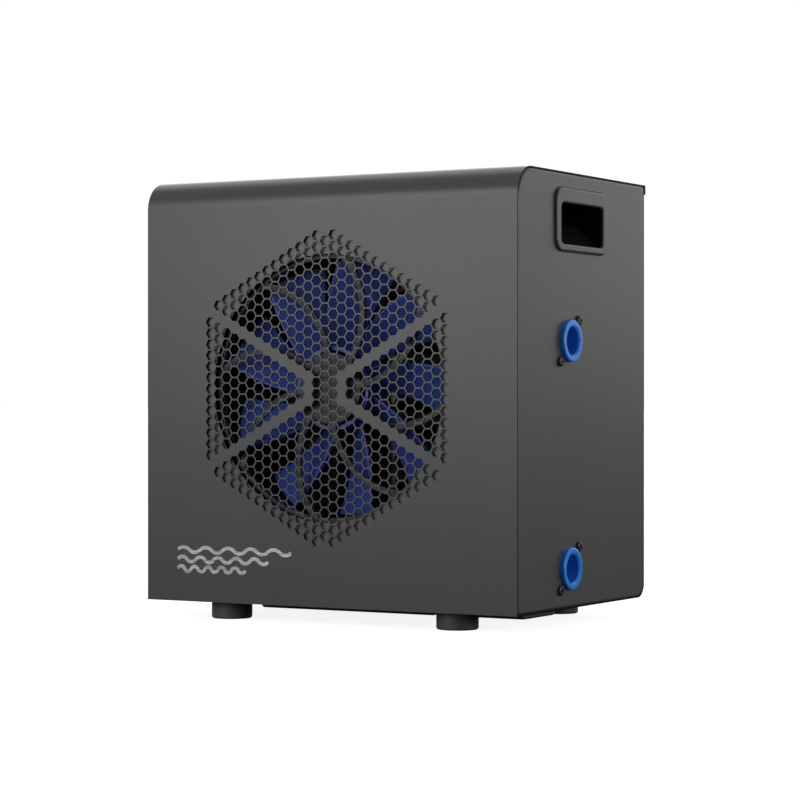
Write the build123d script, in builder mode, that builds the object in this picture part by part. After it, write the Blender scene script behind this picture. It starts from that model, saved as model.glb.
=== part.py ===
"""Small pool and spa heat pump, built as separate pieces.

Millimetres. The origin is on the floor under the middle of the cabinet. X runs to the
right as seen from the front, Y runs to the back and Z runs up. The grille faces -Y and
the two water ports face +X.
"""

import os
from math import cos, pi, radians, sin, sqrt

from build123d import *

os.makedirs("parts", exist_ok=True)

# ---------------------------------------------------------------- driving dimensions

# Cabinet
cabinet_width = 351.6
cabinet_depth = 235.6
cabinet_height = 351.8
foot_height = 14.5
sheet = 1.2                      # painted steel of the outer panels
front_bend_radius = 24.0         # outside radius between the front and the top
rear_bend_radius = 12.0          # outside radius between the back and the bottom
edge_recess = 0.4                # wrapped sheets end this far inside the side panels' faces
rolled_edge = 2.0                # rounding round each side panel
side_flange = 10.0
bend_clearance = 1.0             # added to a side panel's corner radius inside a bend
hem_height = 8.0
hem_gap = 0.6                    # between the back and the hem that hooks over it
hem_thickness = 2.4              # sheet folded back on itself
hook_notch = 2.0                 # relief where the hooks of the front and top sheets meet
hook_notch_rise = 17.8           # lower relief above the bottom edge
flange_corner = 3.0              # rounding of a side panel's two tight corners
lip_bend = 1.3                   # outside radius of the front lip's bend

# Front grille: hexagonal holes on a hexagonal lattice
hole_pitch = 9.2
hole_web = 1.2
grille_border = 20.0             # plain sheet between the grille and the front bend
fan_rise = 1.8                   # fan axis above the middle of the cabinet

# Fan
fan_border = 23.1                # shroud's plate above the fan opening
blade_tip_clearance = 5.0
blade_count = 9
hub_diameter = 68.0
spoke_count = 8
spoke_width = 5.0
bracket_disc = 58.0
motor_diameter = 54.0
motor_length = 28.0
shaft_diameter = 8.0
running_clearance = 0.05         # radial, shaft in its bearings
shroud_gap = 1.6                 # front sheet to the shroud's plate
shroud_sheet = 1.5
duct_depth = 26.0

# Water ports
port_depth = 90.0                # ports behind the front face
port_low = 32.4                  # lower port above the cabinet's bottom edge
port_bore = 23.0
port_ring = 34.0
port_proud = 4.2
port_screw_reach = 16.8          # screws up and along from the port's axis
exchanger_offset = 60.0          # exchanger axis inside the right face
exchanger_diameter = 80.0
shelf_drop = 72.0                # electrical shelf below the top
port_headroom = 64.0             # upper port below the shelf

# Handles
handle_width = 93.6
handle_height = 50.8
handle_rim_low = 5.6
handle_rim_high = 12.0
handle_rim_side = 7.8
handle_proud = 2.4
handle_drop = 38.6               # middle of the handle below the top
handle_depth_pos = 111.0         # middle of the handle behind the front face
cup_depth = 40.0
cup_wall = 1.8

# Feet
foot_diameter = 34.0
foot_inset_x = 67.9
foot_inset_front = 26.8
foot_inset_rear = 28.6

# Controller on the top
controller_width = 104.0
controller_length = 60.0
controller_middle = 79.8         # behind the front face
controller_proud = 1.6
button_diameter = 11.0
button_spacing = 21.0
button_travel = 0.8
button_proud = 1.4

# Evaporator
coil_depth = 22.0
coil_back_gap = 12.0             # behind the fins, to the outer back face
coil_left_gap = 50.8
coil_right_gap = 30.0
fin_pitch = 3.6
fin_thickness = 0.4
tube_diameter = 9.5
tube_pitch = 25.0

# Refrigeration
compressor_diameter = 110.0
compressor_offset = 105.8        # compressor axis inside the left face
pipe_space = 52.0                # above the compressor, below the shelf
accumulator_diameter = 40.0
accumulator_offset = 25.8        # accumulator axis inside the left face
accumulator_headroom = 57.1      # above the accumulator, below the suction run
copper_wall = 1.0
suction_diameter = 9.5
discharge_diameter = 8.0
liquid_diameter = 6.0
capillary_diameter = 3.0

# Fasteners
screw_shank = 4.0
screw_head = 8.4
screw_head_height = 2.4
screw_length = 8.0
screw_clearance = 0.2

# ---------------------------------------------------------------- reference places

front_y = -cabinet_depth / 2
back_y = cabinet_depth / 2
side_x = cabinet_width / 2
base_z = foot_height
top_z = base_z + cabinet_height
wrap_x = side_x - edge_recess
inside_front = front_y + sheet
inside_back = back_y - sheet
inside_floor = base_z + sheet
inside_top = top_z - sheet
inside_side = side_x - sheet
fan_z = base_z + cabinet_height / 2 + fan_rise
shelf_z = top_z - shelf_drop
port_y = front_y + port_depth
port_z_low = base_z + port_low
port_z_high = shelf_z - port_headroom
exchanger_x = side_x - exchanger_offset
handle_y = front_y + handle_depth_pos
handle_z = top_z - handle_drop
foot_places = {
    "foot_front_left": (-side_x + foot_inset_x, front_y + foot_inset_front),
    "foot_front_right": (side_x - foot_inset_x, front_y + foot_inset_front),
    "foot_rear_left": (-side_x + foot_inset_x, back_y - foot_inset_rear),
    "foot_rear_right": (side_x - foot_inset_x, back_y - foot_inset_rear),
}


def wall(y):
    """Upright plane across the cabinet at depth y: local axes X and Z, facing the front."""
    return Plane.XZ.offset(-y)


def flank(x):
    """Upright plane along the cabinet at x: local axes Y and Z, facing right."""
    return Plane.YZ.offset(x)


def level(z):
    """Horizontal plane at height z: local axes X and Y, facing up."""
    return Plane.XY.offset(z)


def bent_sheet(points, bends, thickness, side):
    """Section of bent sheet whose outer skin follows points."""
    with BuildSketch() as section:
        with BuildLine():
            FilletPolyline(*points, radius=bends)
            offset(amount=thickness, side=side)
        make_face()
    return section.sketch


def rounded_box_outline(width, height, corner, middle=(0, 0)):
    """Rectangle with rounded corners about middle, as a local sketch."""
    with BuildSketch() as outline:
        with Locations(middle):
            RectangleRounded(width, height, corner)
    return outline.sketch


# ---------------------------------------------------------------- front and top sheets

seam_z = top_z - front_bend_radius
grille_rings = int((seam_z - fan_z - grille_border) // hole_pitch)


def grille_middles():
    """Hole centres: a hexagon of columns, left plain along its two crossing bands."""
    middles = []
    for column in range(-grille_rings, grille_rings + 1):
        half_count = grille_rings - (1 if column == 0 else abs(column) / 2)
        for step in range(int(2 * half_count) + 1):
            row = step - half_count
            on_band = abs(column) >= 2 and abs(abs(row) - abs(column) / 2) < 0.01
            beside_middle = abs(column) == 2 and abs(row) < 0.01
            if not (on_band or beside_middle):
                middles.append((column * hole_pitch * sqrt(3) / 2, fan_z + row * hole_pitch))
    return middles


def hexagon(x, z, radius):
    """Closed hexagonal wire with points to the left and right."""
    corners = [(x + radius * cos(a * pi / 3), z + radius * sin(a * pi / 3)) for a in range(6)]
    return Wire.make_polygon(corners, close=True)


front_outline = Wire.make_polygon(
    [(-wrap_x, base_z), (wrap_x, base_z), (wrap_x, seam_z), (-wrap_x, seam_z)], close=True
)
hole_radius = (hole_pitch - hole_web) / sqrt(3)
perforated_face = Face(front_outline, [hexagon(x, z, hole_radius) for x, z in grille_middles()])

with BuildPart() as front_panel:
    with BuildSketch(wall(inside_front)):
        add(perforated_face)
    extrude(amount=sheet, clean=False)
front_panel.part.label = "front_panel"
export_step(front_panel.part, "parts/front_panel.step")

hem_y = back_y + hem_gap + hem_thickness
controller_overlap = 4.0         # controller's rim past its cut-out
cutout_corner = 6.0
controller_y = front_y + controller_middle

with BuildPart() as top_cover:
    with BuildSketch(Plane.YZ):
        with BuildLine():
            RadiusArc((front_y, seam_z), (front_y + front_bend_radius, top_z), front_bend_radius)
            Line((front_y + front_bend_radius, top_z), (hem_y, top_z))
            offset(amount=sheet, side=Side.RIGHT)
        make_face()
        with Locations((hem_y - hem_thickness / 2, top_z - hem_height / 2)):
            Rectangle(hem_thickness, hem_height)
    extrude(amount=wrap_x, both=True)
    with BuildSketch(level(top_z)):
        with Locations((0, controller_y)):
            RectangleRounded(
                controller_width - 2 * controller_overlap,
                controller_length - 2 * controller_overlap,
                cutout_corner,
            )
    extrude(amount=-2 * sheet, mode=Mode.SUBTRACT)
top_cover.part.label = "top_cover"
export_step(top_cover.part, "parts/top_cover.step")

# ---------------------------------------------------------------- back and bottom sheet

guard_width = cabinet_width - coil_left_gap - coil_right_gap
guard_margin = 35.0              # above and below the rear guard
guard_height = cabinet_height - 2 * guard_margin
guard_x = (coil_left_gap - coil_right_gap) / 2
guard_z = base_z + cabinet_height / 2
guard_frame = 13.0
guard_screw_inset = 6.5
front_lip = 12.0
back_screw_shift = 1.0           # screws inwards of the flange's middle
back_screw_inset = 40.0
back_screw_x = side_x - side_flange / 2 - back_screw_shift
back_screw_rows = [base_z + back_screw_inset, guard_z, top_z - back_screw_inset]
guard_seat = 0.6
guard_screws = [
    (
        guard_x + sx * (guard_width / 2 - guard_screw_inset),
        guard_z + sz * (guard_height / 2 - guard_screw_inset),
    )
    for sx in (-1, 1)
    for sz in (-1, 0, 1)
]
foot_bolt = 6.0
drain_bore = 10.0
drain_outer = 14.0
drain_x = 0.0
drain_gap = 20.0                 # drain in front of the coil
drain_y = back_y - coil_back_gap - coil_depth - drain_gap
gland_thread = 16.0
gland_inset = 24.0
gland_rise = 70.0
gland_x = -side_x + gland_inset
gland_z = base_z + gland_rise

with BuildPart() as rear_base_cover:
    with BuildSketch(Plane.YZ):
        add(
            bent_sheet(
                [
                    (inside_front, base_z + front_lip),
                    (inside_front, base_z),
                    (back_y, base_z),
                    (back_y, inside_top),
                ],
                [lip_bend, rear_bend_radius],
                sheet,
                Side.LEFT,
            )
        )
    extrude(amount=wrap_x, both=True)
    with BuildSketch(wall(inside_front)):
        with Locations(*[(s * side_x, inside_floor + front_lip / 2) for s in (-1, 1)]):
            Rectangle(2 * side_flange + 1, front_lip)
    extrude(amount=-2 * sheet, mode=Mode.SUBTRACT)
    with BuildSketch(wall(back_y)):
        with Locations((guard_x, guard_z)):
            Rectangle(guard_width - 2 * guard_frame, guard_height - 2 * guard_frame)
        with Locations(*[(s * back_screw_x, z) for s in (-1, 1) for z in back_screw_rows]):
            Circle(screw_shank / 2 + screw_clearance)
        with Locations(*guard_screws):
            Circle(screw_shank / 2 + screw_clearance)
        with Locations((gland_x, gland_z)):
            Circle(gland_thread / 2 + screw_clearance)
    extrude(amount=2 * sheet, mode=Mode.SUBTRACT)
    with BuildSketch(level(base_z)):
        with Locations(*foot_places.values()):
            Circle(foot_bolt / 2 + screw_clearance)
        with Locations((drain_x, drain_y)):
            Circle(drain_outer / 2 + screw_clearance)
    extrude(amount=2 * sheet, mode=Mode.SUBTRACT)
rear_base_cover.part.label = "rear_base_cover"
export_step(rear_base_cover.part, "parts/rear_base_cover.step")

# ---------------------------------------------------------------- side panels

handle_open_width = handle_width - 2 * handle_rim_side
handle_open_height = handle_height - handle_rim_low - handle_rim_high
handle_open_z = handle_z - (handle_rim_high - handle_rim_low) / 2
cup_fit = 0.4
open_corner = 5.0                # rounding of the handle opening
port_fit = 0.3
port_middles = [(port_y, port_z_low), (port_y, port_z_high)]
port_screws = [
    (port_y + s * port_screw_reach, z + s * port_screw_reach)
    for z in (port_z_low, port_z_high)
    for s in (-1, 1)
]


def side_outline(inset):
    """Side panel's outline, inset from the inner faces of the wrapped sheets."""
    low_y = inside_front + inset
    high_y = inside_back - inset
    low_z = inside_floor + inset
    high_z = inside_top - inset
    with BuildSketch() as outline:
        with Locations(((low_y + high_y) / 2, (low_z + high_z) / 2)):
            Rectangle(high_y - low_y, high_z - low_z)
        for corner, radius in (
            ((low_y, high_z, 0), front_bend_radius - sheet + bend_clearance - inset),
            ((high_y, low_z, 0), rear_bend_radius - sheet + bend_clearance - inset),
            ((high_y, high_z, 0), flange_corner),
            ((low_y, low_z, 0), flange_corner),
        ):
            fillet(outline.vertices().sort_by_distance(corner)[0], radius)
    return outline.sketch


def side_blank():
    """Right-hand side panel with its handle opening, before the ports are cut."""
    with BuildPart() as blank:
        with BuildSketch(flank(side_x)):
            add(side_outline(0))
        extrude(amount=-side_flange)
        fillet(blank.faces().sort_by(Axis.X)[-1].edges(), rolled_edge)
        with BuildSketch(flank(inside_side)):
            add(side_outline(sheet))
        extrude(amount=-side_flange, mode=Mode.SUBTRACT)
        with BuildSketch(flank(side_x)):
            add(
                rounded_box_outline(
                    handle_open_width + 2 * (cup_wall + cup_fit),
                    handle_open_height + 2 * (cup_wall + cup_fit),
                    open_corner + cup_wall + cup_fit,
                    (handle_y, handle_open_z),
                )
            )
        extrude(amount=-2 * sheet, mode=Mode.SUBTRACT)
        with BuildSketch(flank(side_x)):
            with Locations((inside_front, seam_z), (inside_front, base_z + hook_notch_rise)):
                Circle(hook_notch / 2)
        extrude(amount=-2 * side_flange, mode=Mode.SUBTRACT)
        for side_z in back_screw_rows:
            with Locations(Location((back_screw_x, inside_back, side_z), (90, 0, 0))):
                Cylinder(screw_shank / 2 + screw_clearance, 4 * sheet, mode=Mode.SUBTRACT)
    return blank.part


blank_panel = side_blank()

with BuildPart() as side_panel_right:
    add(blank_panel)
    with BuildSketch(flank(side_x)):
        with Locations(*port_middles):
            Circle(port_ring / 2 + port_fit)
        with Locations(*port_screws):
            Circle(screw_shank / 2 + screw_clearance)
    extrude(amount=-2 * sheet, mode=Mode.SUBTRACT)
side_panel_right.part.label = "side_panel_right"
export_step(side_panel_right.part, "parts/side_panel_right.step")

with BuildPart() as side_panel_left:
    add(blank_panel)
    mirror(about=Plane.YZ, mode=Mode.REPLACE)
side_panel_left.part.label = "side_panel_left"
export_step(side_panel_left.part, "parts/side_panel_left.step")

# ---------------------------------------------------------------- base, tray and feet

pan_sheet = 1.5
pan_rim = 14.0
pan_gap = 1.0
pan_corner = 8.0
pan_half_width = inside_side - side_flange + sheet - pan_gap
pan_front = inside_front + sheet + pan_gap
pan_back = inside_back - rear_bend_radius
tray_depth = 3.9
tray_left = -75.0
tray_right = side_x - 4
tray_front = front_y + 19
tray_back = front_y + 76
tray_foot_gap = 2.0
tray_corner = 5.0
tray_chamfer = 1.2
tray_groove_rows = (24.0, 38.0)  # grooves behind the tray's front edge
tray_groove_middle = 50.0
tray_groove_length = 70.0
tray_groove_width = 5.0
tray_groove_depth = 1.5

with BuildPart() as base_pan:
    with BuildSketch(level(inside_floor)):
        with Locations((0, (pan_front + pan_back) / 2)):
            Rectangle(2 * pan_half_width, pan_back - pan_front)
    extrude(amount=pan_rim)
    fillet(base_pan.edges().filter_by(Axis.Z), pan_corner)
    with BuildSketch(level(inside_floor + pan_sheet)):
        with Locations((0, (pan_front + pan_back) / 2)):
            RectangleRounded(
                2 * (pan_half_width - pan_sheet),
                pan_back - pan_front - 2 * pan_sheet,
                pan_corner - pan_sheet,
            )
    extrude(amount=pan_rim, mode=Mode.SUBTRACT)
    with BuildSketch(level(inside_floor)):
        with Locations(*foot_places.values()):
            Circle(foot_bolt / 2 + screw_clearance)
        with Locations((drain_x, drain_y)):
            Circle(drain_outer / 2 + screw_clearance)
    extrude(amount=2 * pan_sheet, mode=Mode.SUBTRACT)
base_pan.part.label = "base_pan"
export_step(base_pan.part, "parts/base_pan.step")

with BuildPart() as drip_tray:
    with BuildSketch(level(base_z - tray_depth)):
        with Locations(((tray_left + tray_right) / 2, (tray_front + tray_back) / 2)):
            RectangleRounded(tray_right - tray_left, tray_back - tray_front, tray_corner)
    extrude(amount=tray_depth)
    chamfer(drip_tray.faces().sort_by(Axis.Z)[0].edges(), tray_chamfer)
    with BuildSketch(level(base_z - tray_depth)):
        with Locations(foot_places["foot_front_right"]):
            Circle(foot_diameter / 2 + tray_foot_gap)
    extrude(amount=tray_depth, mode=Mode.SUBTRACT)
    with BuildSketch(level(base_z - tray_depth)):
        with Locations(*[(tray_left + tray_groove_middle, tray_front + y) for y in tray_groove_rows]):
            SlotOverall(tray_groove_length, tray_groove_width)
    extrude(amount=tray_groove_depth, mode=Mode.SUBTRACT)
drip_tray.part.label = "drip_tray"
export_step(drip_tray.part, "parts/drip_tray.step")

drain_drop = 9.0
drain_neck = 0.6                 # the neck in the sheets starts this far below them
drain_neck_inset = 0.3
drain_flange = 24.0
drain_flange_thickness = 2.0

with BuildPart() as drain_spigot:
    with BuildSketch(level(base_z - drain_drop)):
        with Locations((drain_x, drain_y)):
            Circle(drain_outer / 2)
    extrude(amount=drain_drop - drain_neck)
    with BuildSketch(level(base_z - drain_neck)):
        with Locations((drain_x, drain_y)):
            Circle(drain_outer / 2 - drain_neck_inset)
    extrude(amount=drain_neck + sheet + pan_sheet)
    with BuildSketch(level(inside_floor + pan_sheet)):
        with Locations((drain_x, drain_y)):
            Circle(drain_flange / 2)
    extrude(amount=drain_flange_thickness)
    with BuildSketch(level(base_z - drain_drop)):
        with Locations((drain_x, drain_y)):
            Circle(drain_bore / 2)
    extrude(amount=base_z, mode=Mode.SUBTRACT)
drain_spigot.part.label = "drain_spigot"
export_step(drain_spigot.part, "parts/drain_spigot.step")

foot_recess = 16.0
foot_recess_depth = 6.0
bolt_head = 10.0
bolt_head_height = 4.0
foot_chamfer = 1.2
foot_bolt_end = 6.0              # thread above the pan

for foot_name, (foot_x, foot_y) in foot_places.items():
    with BuildPart() as foot:
        with BuildSketch(level(0)):
            with Locations((foot_x, foot_y)):
                Circle(foot_diameter / 2)
        extrude(amount=foot_height)
        chamfer(foot.faces().sort_by(Axis.Z)[0].edges(), foot_chamfer)
        with BuildSketch(level(0)):
            with Locations((foot_x, foot_y)):
                Circle(foot_recess / 2)
        extrude(amount=foot_recess_depth, mode=Mode.SUBTRACT)
        with BuildSketch(level(foot_recess_depth)):
            with Locations((foot_x, foot_y)):
                Circle(foot_bolt / 2 + screw_clearance)
        extrude(amount=foot_height, mode=Mode.SUBTRACT)
    foot.part.label = foot_name
    export_step(foot.part, f"parts/{foot_name}.step")

with BuildPart() as foot_bolts:
    with BuildSketch(level(foot_recess_depth - bolt_head_height)):
        with Locations(*foot_places.values()):
            RegularPolygon(bolt_head / 2, 6, major_radius=False)
    extrude(amount=bolt_head_height)
    with BuildSketch(level(foot_recess_depth)):
        with Locations(*foot_places.values()):
            Circle(foot_bolt / 2)
    extrude(amount=foot_height - foot_recess_depth + sheet + pan_sheet + foot_bolt_end)
foot_bolts.part.label = "foot_bolts"
export_step(foot_bolts.part, "parts/foot_bolts.step")

# ---------------------------------------------------------------- handles

bezel_round = 1.4
bezel_corner = 10.0
slope_rise = 18.0
cup_lip = 3.0                    # level floor before the slope
cup_back_rise = 2.0


def handle_bezel():
    """Right-hand raised frame round the handle opening."""
    with BuildPart() as bezel:
        with BuildSketch(flank(side_x)):
            add(
                rounded_box_outline(
                    handle_width, handle_height, bezel_corner, (handle_y, handle_z)
                )
            )
            add(
                rounded_box_outline(
                    handle_open_width, handle_open_height, open_corner, (handle_y, handle_open_z)
                ),
                mode=Mode.SUBTRACT,
            )
        extrude(amount=handle_proud)
        fillet(bezel.faces().sort_by(Axis.X)[-1].edges(), bezel_round)
    return bezel.part


def cup_section(wall_thickness):
    """Section of the grip pocket on X and Z, grown by the wall thickness."""
    low_z = handle_open_z - handle_open_height / 2
    high_z = low_z + handle_open_height
    with BuildSketch() as section:
        with BuildLine():
            Polyline(
                (side_x, low_z),
                (side_x - cup_lip, low_z),
                (side_x - cup_lip - slope_rise, low_z + slope_rise),
                (side_x - cup_depth, low_z + slope_rise + cup_back_rise),
                (side_x - cup_depth, high_z),
                (side_x, high_z),
                close=True,
            )
        make_face()
        if wall_thickness:
            offset(amount=wall_thickness, kind=Kind.INTERSECTION)
    return section.sketch


def cup_body(wall_thickness):
    """Solid of the grip pocket grown by the wall thickness, flush with the panel's face."""
    with BuildPart() as body:
        with BuildSketch(wall(handle_y)):
            add(cup_section(wall_thickness))
        extrude(amount=handle_open_width / 2 + wall_thickness, both=True)
        with BuildSketch(flank(side_x)):
            add(
                rounded_box_outline(
                    handle_open_width + 2 * wall_thickness,
                    handle_open_height + 2 * wall_thickness,
                    open_corner + wall_thickness,
                    (handle_y, handle_open_z),
                )
            )
        extrude(amount=-2 * cup_depth, mode=Mode.INTERSECT)
    return body.part


def handle_cup():
    """Right-hand pocket for the fingers, open to the outside."""
    with BuildPart() as cup:
        add(cup_body(cup_wall))
        add(cup_body(0), mode=Mode.SUBTRACT)
    return cup.part


bezel_shape = handle_bezel()
cup_shape = handle_cup()

with BuildPart() as handle_bezel_right:
    add(bezel_shape)
handle_bezel_right.part.label = "handle_bezel_right"
export_step(handle_bezel_right.part, "parts/handle_bezel_right.step")

with BuildPart() as handle_bezel_left:
    add(bezel_shape)
    mirror(about=Plane.YZ, mode=Mode.REPLACE)
handle_bezel_left.part.label = "handle_bezel_left"
export_step(handle_bezel_left.part, "parts/handle_bezel_left.step")

with BuildPart() as handle_cup_right:
    add(cup_shape)
handle_cup_right.part.label = "handle_cup_right"
export_step(handle_cup_right.part, "parts/handle_cup_right.step")

with BuildPart() as handle_cup_left:
    add(cup_shape)
    mirror(about=Plane.YZ, mode=Mode.REPLACE)
handle_cup_left.part.label = "handle_cup_left"
export_step(handle_cup_left.part, "parts/handle_cup_left.step")

# ---------------------------------------------------------------- rear guard and gland

guard_thickness = 2.6
guard_corner = 8.0
guard_slot_width = 21.0
guard_slot_height = 7.0
guard_rib = 2.6
guard_columns = int((guard_width - 2 * guard_frame) // (guard_slot_width + guard_rib))
guard_rows = int((guard_height - 2 * guard_frame) // (guard_slot_height + guard_rib))

with BuildPart() as rear_guard:
    with BuildSketch(wall(back_y)):
        with Locations((guard_x, guard_z)):
            RectangleRounded(guard_width, guard_height, guard_corner)
            with GridLocations(
                guard_slot_width + guard_rib,
                guard_slot_height + guard_rib,
                guard_columns,
                guard_rows,
            ):
                Rectangle(guard_slot_width, guard_slot_height, mode=Mode.SUBTRACT)
    extrude(amount=-guard_thickness)
    with BuildSketch(wall(back_y)):
        with Locations(*guard_screws):
            Circle(screw_shank / 2 + screw_clearance)
    extrude(amount=-guard_thickness, mode=Mode.SUBTRACT)
    with BuildSketch(wall(back_y + guard_seat)):
        with Locations(*guard_screws):
            Circle(screw_head / 2 + screw_clearance)
    extrude(amount=-guard_thickness, mode=Mode.SUBTRACT)
rear_guard.part.label = "rear_guard"
export_step(rear_guard.part, "parts/rear_guard.step")

gland_bore = 8.0
gland_hex = 20.0
gland_flange = 2.6
gland_dome = 2.4
gland_dome_taper = 24
gland_dome_inset = 1.0
gland_nut_rim = 1.0              # nut wider than the body by this all round
gland_nut_thickness = 5.0
gland_thread_end = 4.0           # thread that shows past its nut
gland_inner_length = sheet + gland_nut_thickness + gland_thread_end

with BuildPart() as cable_gland:
    with BuildSketch(wall(back_y)):
        with Locations((gland_x, gland_z)):
            RegularPolygon(gland_hex / 2, 6, major_radius=False)
    extrude(amount=-gland_flange)
    with BuildSketch(wall(back_y + gland_flange)):
        with Locations((gland_x, gland_z)):
            Circle(gland_hex / 2 - gland_dome_inset)
    extrude(amount=-gland_dome, taper=gland_dome_taper)
    with BuildSketch(wall(back_y)):
        with Locations((gland_x, gland_z)):
            Circle(gland_thread / 2)
    extrude(amount=gland_inner_length)
    with BuildSketch(wall(back_y + gland_flange + gland_dome)):
        with Locations((gland_x, gland_z)):
            Circle(gland_bore / 2)
    extrude(amount=gland_flange + gland_dome + gland_inner_length, mode=Mode.SUBTRACT)
cable_gland.part.label = "cable_gland"
export_step(cable_gland.part, "parts/cable_gland.step")

with BuildPart() as gland_nut:
    with BuildSketch(wall(inside_back)):
        with Locations((gland_x, gland_z)):
            RegularPolygon(gland_hex / 2 + gland_nut_rim, 6, major_radius=False)
            Circle(gland_thread / 2, mode=Mode.SUBTRACT)
    extrude(amount=gland_nut_thickness)
gland_nut.part.label = "gland_nut"
export_step(gland_nut.part, "parts/gland_nut.step")

# ---------------------------------------------------------------- cabinet screws

screw_round = 1.5
screw_cross_length = 4.2
screw_cross_width = 1.0
screw_cross_depth = 1.3
facing_right = (0, 90, 0)
facing_back = (-90, 0, 0)
screw_places = [Location((side_x, y, z), facing_right) for y, z in port_screws]
screw_places += [
    Location((s * back_screw_x, back_y, z), facing_back) for s in (-1, 1) for z in back_screw_rows
]
screw_places += [Location((x, back_y + guard_seat, z), facing_back) for x, z in guard_screws]

with BuildPart() as pan_screw:
    Cylinder(screw_head / 2, screw_head_height, align=(Align.CENTER, Align.CENTER, Align.MIN))
    fillet(pan_screw.edges().group_by(Axis.Z)[-1], screw_round)
    with BuildSketch(level(screw_head_height)):
        Rectangle(screw_cross_length, screw_cross_width)
        Rectangle(screw_cross_width, screw_cross_length)
    extrude(amount=-screw_cross_depth, mode=Mode.SUBTRACT)
    Cylinder(screw_shank / 2, screw_length, align=(Align.CENTER, Align.CENTER, Align.MAX))

with BuildPart() as cabinet_screws:
    with Locations(*screw_places):
        add(pan_screw.part)
cabinet_screws.part.label = "cabinet_screws"
export_step(cabinet_screws.part, "parts/cabinet_screws.step")

# ---------------------------------------------------------------- badge on the front

badge_length = 112.0
badge_waves = 5
badge_stroke = 3.0
badge_rise = 4.2
badge_thickness = 0.6
badge_left = -side_x + 31.8
badge_z = base_z + 43.2          # top row of waves
badge_rows = 3
badge_row_pitch = 8.0


def wave_line(z, length):
    """Row of arcs that swing up and down in turn, starting at the badge's left end."""
    step = length / (2 * badge_waves)
    with BuildLine() as line:
        for n in range(2 * badge_waves):
            start = badge_left + n * step
            swing = badge_rise / 2 if n % 2 == 0 else -badge_rise / 2
            ThreePointArc((start, z), (start + step / 2, z + swing), (start + step, z))
    return line.line


with BuildPart() as badge:
    with BuildSketch(wall(front_y)):
        for row in range(badge_rows):
            length = badge_length * (1 - row / badge_waves)
            trace(wave_line(badge_z - row * badge_row_pitch, length), badge_stroke)
    extrude(amount=badge_thickness)
badge.part.label = "badge"
export_step(badge.part, "parts/badge.step")

# ---------------------------------------------------------------- controller

bezel_plate = 2.4
plate_corner = 10.0
plate_round = 1.2
housing_corner = 5.0
housing_inset = 5.0              # housing inside the plate's edge
window_ledge = 2.0
window_corner = 2.0
window_seat = 1.0                # window's pocket in the plate
window_thickness = 0.9
controller_wall = 2.0
controller_drop = 15.0           # housing below the top face
window_width = 64.0
window_length = 20.0
window_shift = 11.0              # window behind the controller's middle
button_shift = -14.0             # buttons in front of the controller's middle
button_gap = 0.3
button_flange = 1.6              # wider than the cap by this, under the plate
flange_thickness = 1.0
board_thickness = 1.6
switch_gap = 0.3
switch_diameter = 5.0
switch_height = 1.5
display_width = 50.0
display_length = 14.0
button_round = 0.9
housing_width = controller_width - 2 * housing_inset
housing_length = controller_length - 2 * housing_inset
plate_top = top_z + controller_proud
plate_low = plate_top - bezel_plate
board_top = plate_low - flange_thickness - button_travel - switch_gap - switch_height
button_names = ["power_button", "mode_button", "down_button", "up_button"]
button_places = [
    ((n - (len(button_names) - 1) / 2) * button_spacing, controller_y + button_shift)
    for n in range(len(button_names))
]
window_place = (0, controller_y + window_shift)

with BuildPart() as controller_bezel:
    with BuildSketch(level(top_z)):
        with Locations((0, controller_y)):
            RectangleRounded(controller_width, controller_length, plate_corner)
    extrude(amount=controller_proud)
    fillet(controller_bezel.faces().sort_by(Axis.Z)[-1].edges(), plate_round)
    with BuildSketch(level(top_z)):
        with Locations((0, controller_y)):
            RectangleRounded(housing_width, housing_length, housing_corner)
    extrude(amount=-controller_drop)
    with BuildSketch(level(plate_low)):
        with Locations((0, controller_y)):
            RectangleRounded(
                housing_width - 2 * controller_wall,
                housing_length - 2 * controller_wall,
                housing_corner - controller_wall,
            )
    extrude(amount=-controller_drop, mode=Mode.SUBTRACT)
    with BuildSketch(level(plate_low)):
        with Locations(*button_places):
            Circle(button_diameter / 2 + button_gap)
        with Locations(window_place):
            RectangleRounded(
                window_width - 2 * window_ledge,
                window_length - 2 * window_ledge,
                window_corner / 2,
            )
    extrude(amount=2 * bezel_plate, mode=Mode.SUBTRACT)
    with BuildSketch(level(plate_top - window_seat)):
        with Locations(window_place):
            RectangleRounded(window_width, window_length, window_corner)
    extrude(amount=bezel_plate, mode=Mode.SUBTRACT)
controller_bezel.part.label = "controller_bezel"
export_step(controller_bezel.part, "parts/controller_bezel.step")

with BuildPart() as controller_window:
    with BuildSketch(level(plate_top - window_seat)):
        with Locations(window_place):
            RectangleRounded(window_width, window_length, window_corner)
    extrude(amount=window_thickness)
controller_window.part.label = "controller_window"
export_step(controller_window.part, "parts/controller_window.step")

with BuildPart() as controller_board:
    with BuildSketch(level(board_top - board_thickness)):
        with Locations((0, controller_y)):
            Rectangle(
                housing_width - 2 * controller_wall, housing_length - 2 * controller_wall
            )
    extrude(amount=board_thickness)
    fillet(controller_board.edges().filter_by(Axis.Z), housing_corner - controller_wall)
    with BuildSketch(level(board_top)):
        with Locations(*button_places):
            Circle(switch_diameter / 2)
    extrude(amount=switch_height)
    with BuildSketch(level(board_top)):
        with Locations(window_place):
            Rectangle(display_width, display_length)
    extrude(amount=plate_low - board_top)
controller_board.part.label = "controller_board"
export_step(controller_board.part, "parts/controller_board.step")

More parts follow.
